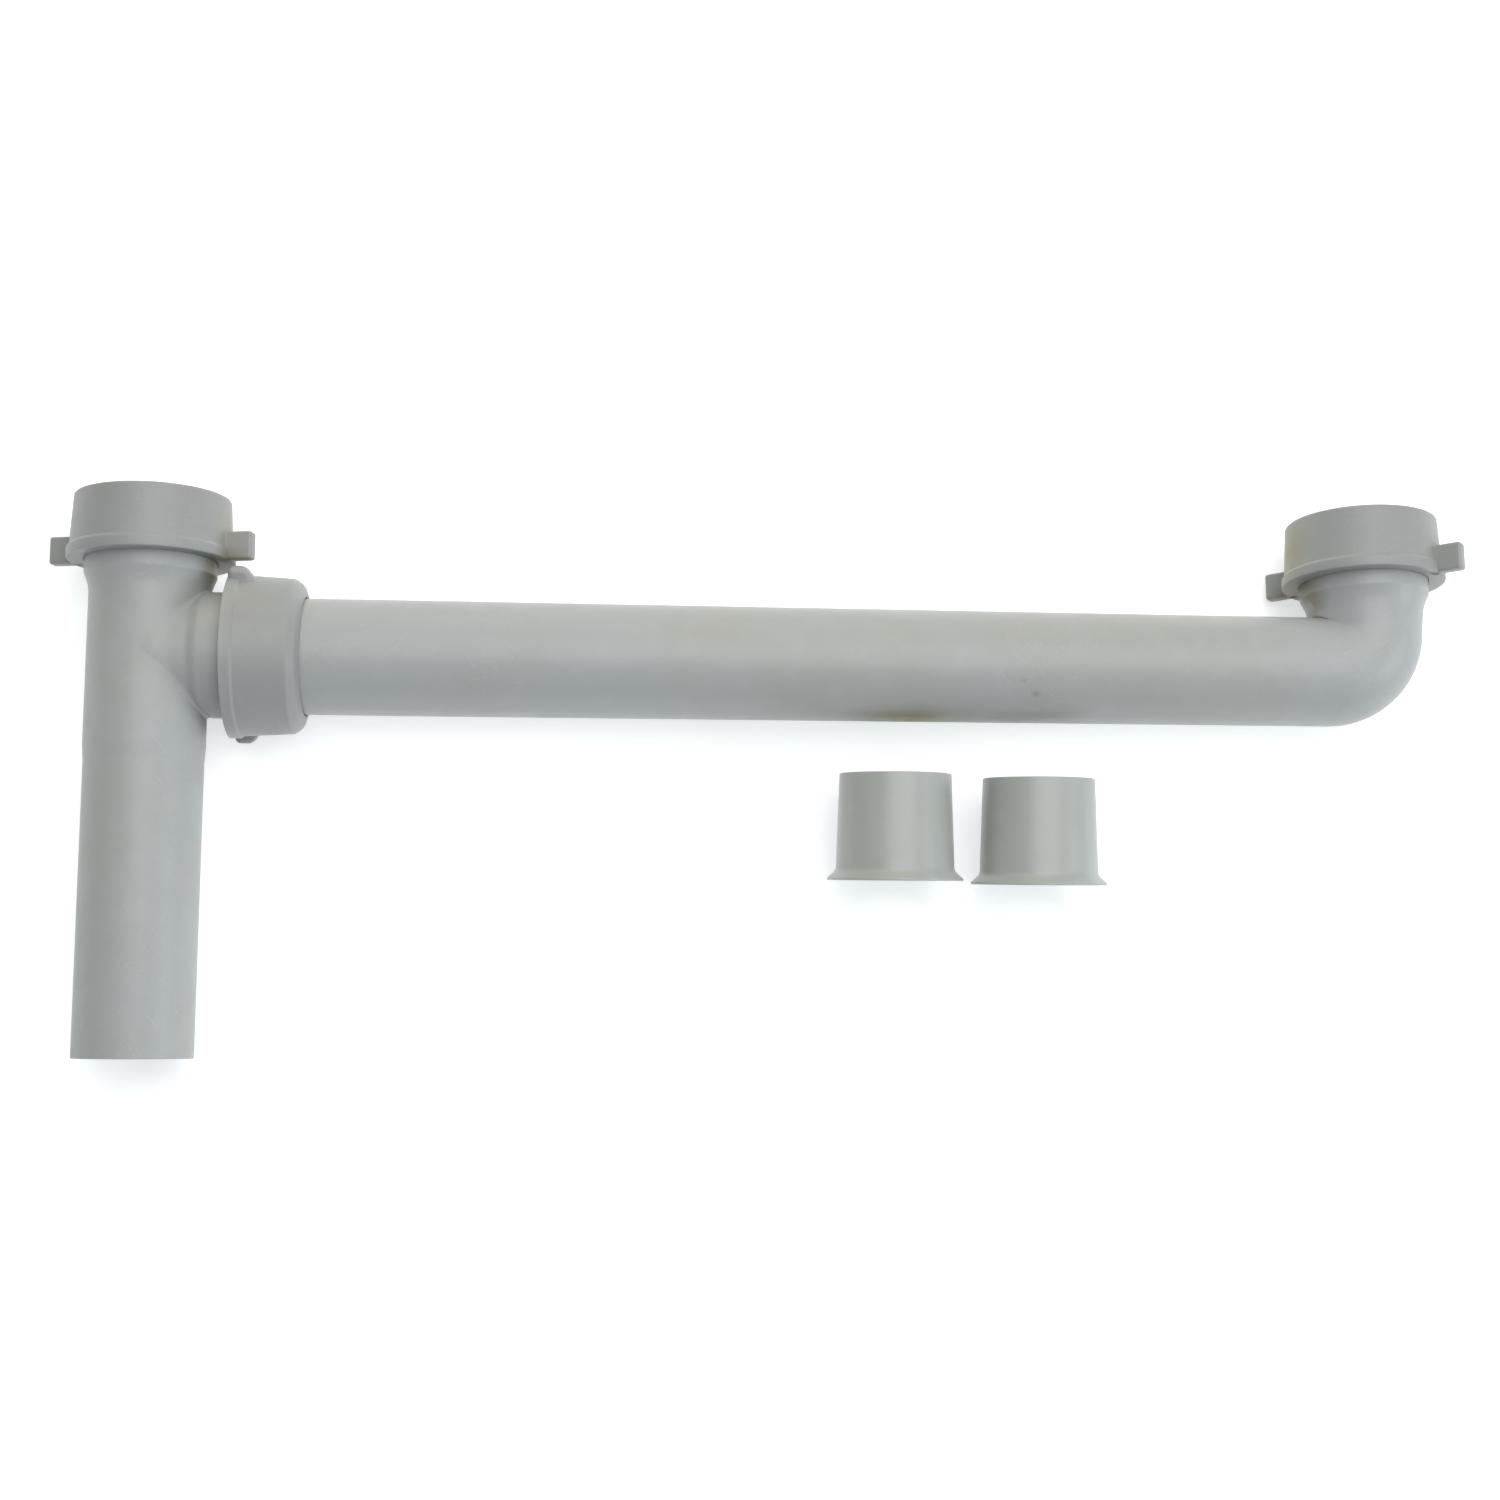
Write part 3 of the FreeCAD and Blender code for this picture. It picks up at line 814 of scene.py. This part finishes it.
tee_marks = (
    # Painted shade, tinted brown, on the tee's neck under the left nut.
    ((21.0, 29.0, 2.0), (8.5, 12.5, 15.0), BROWN_SHADE, 0.90),
)
arm_marks = (
    # Painted shade, tinted brown, on the elbow's neck under the right nut.
    ((CENTRES - 21.0, 26.0, 2.0), (9.0, 17.0, 16.0), BROWN_SHADE, 0.90),
    # Painted brown reflection along the arm's lower side.
    ((249.8, -19.5, -1.0), (30.0, 10.5, 17.5), BROWN_REFLECTION, 1.0),
    ((289.5, -12.0, 14.0), (2.2, 1.5, 4.0), SPECK, 0.55),
    ((285.2, -8.3, 16.6), (1.7, 1.1, 4.0), SPECK, 0.30),
)
paint(tee, "tee_plastic", tee_place, TUBE_TONE, 0.42, is_split=True, marks=tee_marks)
paint(arm, "arm_plastic", arm_place, TUBE_TONE, 0.40, is_split=True, marks=arm_marks)
for piece, placement, side, facing_shade_and_reflection in ((left_nut, left_nut_place, 1.0, 0.25),
                                           (right_nut, right_nut_place, -1.0, 0.75)):
    # Each nut is darkened where it faces the other one: painted shade, tinted brown, under its
    # wing, and painted shade with a painted brown reflection up its skirt.
    surface = side * 26.0
    facing = placement.to_3x3().transposed() @ (ALONG * surface)
    nut_marks = (
        # Painted shade, tinted brown, under the wing where the nut meets its neck.
        ((surface, 0.0, -2.0), (12.0, 12.0, 8.5), BROWN_SHADE, 0.95),
        # Painted shade with a painted brown reflection up the skirt.
        ((facing.x, facing.y, 10.0), (18.0, 18.0, 18.0), BROWN_REFLECTION, facing_shade_and_reflection),
    )
    paint(piece, piece.name + "_plastic", placement, NUT_TONE, 0.44, marks=nut_marks)
paint(slip_nut, "slip_nut_plastic", tee_place, NUT_TONE, 0.44)
for piece in (insert_a, insert_b):
    corners = [vertex.co for vertex in piece.data.vertices]
    middle = Matrix.Translation(sum(corners, Vector()) / len(corners))
    paint(piece, piece.name + "_plastic", middle, INSERT_TONE, 0.30)
washer = bpy.data.objects["slip_joint_washer"]
washer.data.materials.clear()
paint(washer, "washer_plastic", placed(arm_point, ACROSS, ALONG), WASHER_TONE, 0.38)

# ---------------------------------------------------------------- floor, lights and camera

FLOOR = 9.0           # metres from the middle of the floor to its sides
floor_corners = ((-FLOOR, -FLOOR, 0), (FLOOR, -FLOOR, 0), (FLOOR, FLOOR, 0), (-FLOOR, FLOOR, 0))
floor_mesh = bpy.data.meshes.new("floor")
floor_mesh.from_pydata(floor_corners, [], [(0, 1, 2, 3)])
floor = bpy.data.objects.new("floor", floor_mesh)
bpy.context.scene.collection.objects.link(floor)
glowing_floor_look = Look("floor_paper", Matrix.Identity(4))
sheet = glowing_floor_look.blend(glowing_floor_look.noise(60.0, 3.0), (0.92, 0.92, 0.92), (0.94, 0.94, 0.94))
glowing_floor_look.feed(glowing_floor_look.shader.inputs["Base Color"], sheet)
glowing_floor_look.shader.inputs["Roughness"].default_value = 0.95
glowing_floor_look.shader.inputs["Specular IOR Level"].default_value = 0.0
# The floor glows a little: painted light that washes out its shadows and lights the pieces'
# undersides from below.
glowing_floor_look.shader.inputs["Emission Color"].default_value = (0.96, 0.985, 1.0, 1.0)
glowing_floor_look.shader.inputs["Emission Strength"].default_value = 0.42
floor.data.materials.append(glowing_floor_look.material)


def softbox(name, position, size, power, colour):
    light = bpy.data.lights.new(name, "AREA")
    light.shape = "SQUARE"
    light.size = size
    light.energy = power
    light.color = colour
    lamp = bpy.data.objects.new(name, light)
    bpy.context.scene.collection.objects.link(lamp)
    lamp.location = position
    lamp.rotation_euler = (-Vector(position)).to_track_quat("-Z", "Y").to_euler()


softbox("overhead", (0.25, 0.35, 1.8), 1.6, 21.5, (1.0, 0.995, 0.98))
softbox("warm_side", (-0.1, 1.5, 0.8), 1.2, 7.6, (1.0, 0.935, 0.70))
softbox("cool_side", (1.5, -0.35, 0.8), 0.8, 8.2, (0.88, 0.95, 1.0))

world = bpy.data.worlds.new("studio")
world.use_nodes = True
background = world.node_tree.nodes["Background"]
background.inputs["Color"].default_value = (0.86, 0.94, 1.0, 1.0)
background.inputs["Strength"].default_value = 0.38
scene = bpy.context.scene
scene.world = world
scene.view_settings.view_transform = "Standard"

# The camera looks down from above the tail's side of the arm.
CAMERA_PLACE = (146.7, -164.2, 709.1)        # millimetres from the crossing of the tee's axes
CAMERA_TURN = (10.7544, -4.0192, -0.0414)    # degrees about X, Y and Z
camera_data = bpy.data.cameras.new("camera")
camera_data.sensor_width = 36.0
camera_data.lens = 52.70
camera_data.clip_start = 0.01
camera = bpy.data.objects.new("camera", camera_data)
camera.location = crossing + Vector(CAMERA_PLACE) * MM
camera.rotation_euler = [math.radians(angle) for angle in CAMERA_TURN]
scene.collection.objects.link(camera)
scene.camera = camera
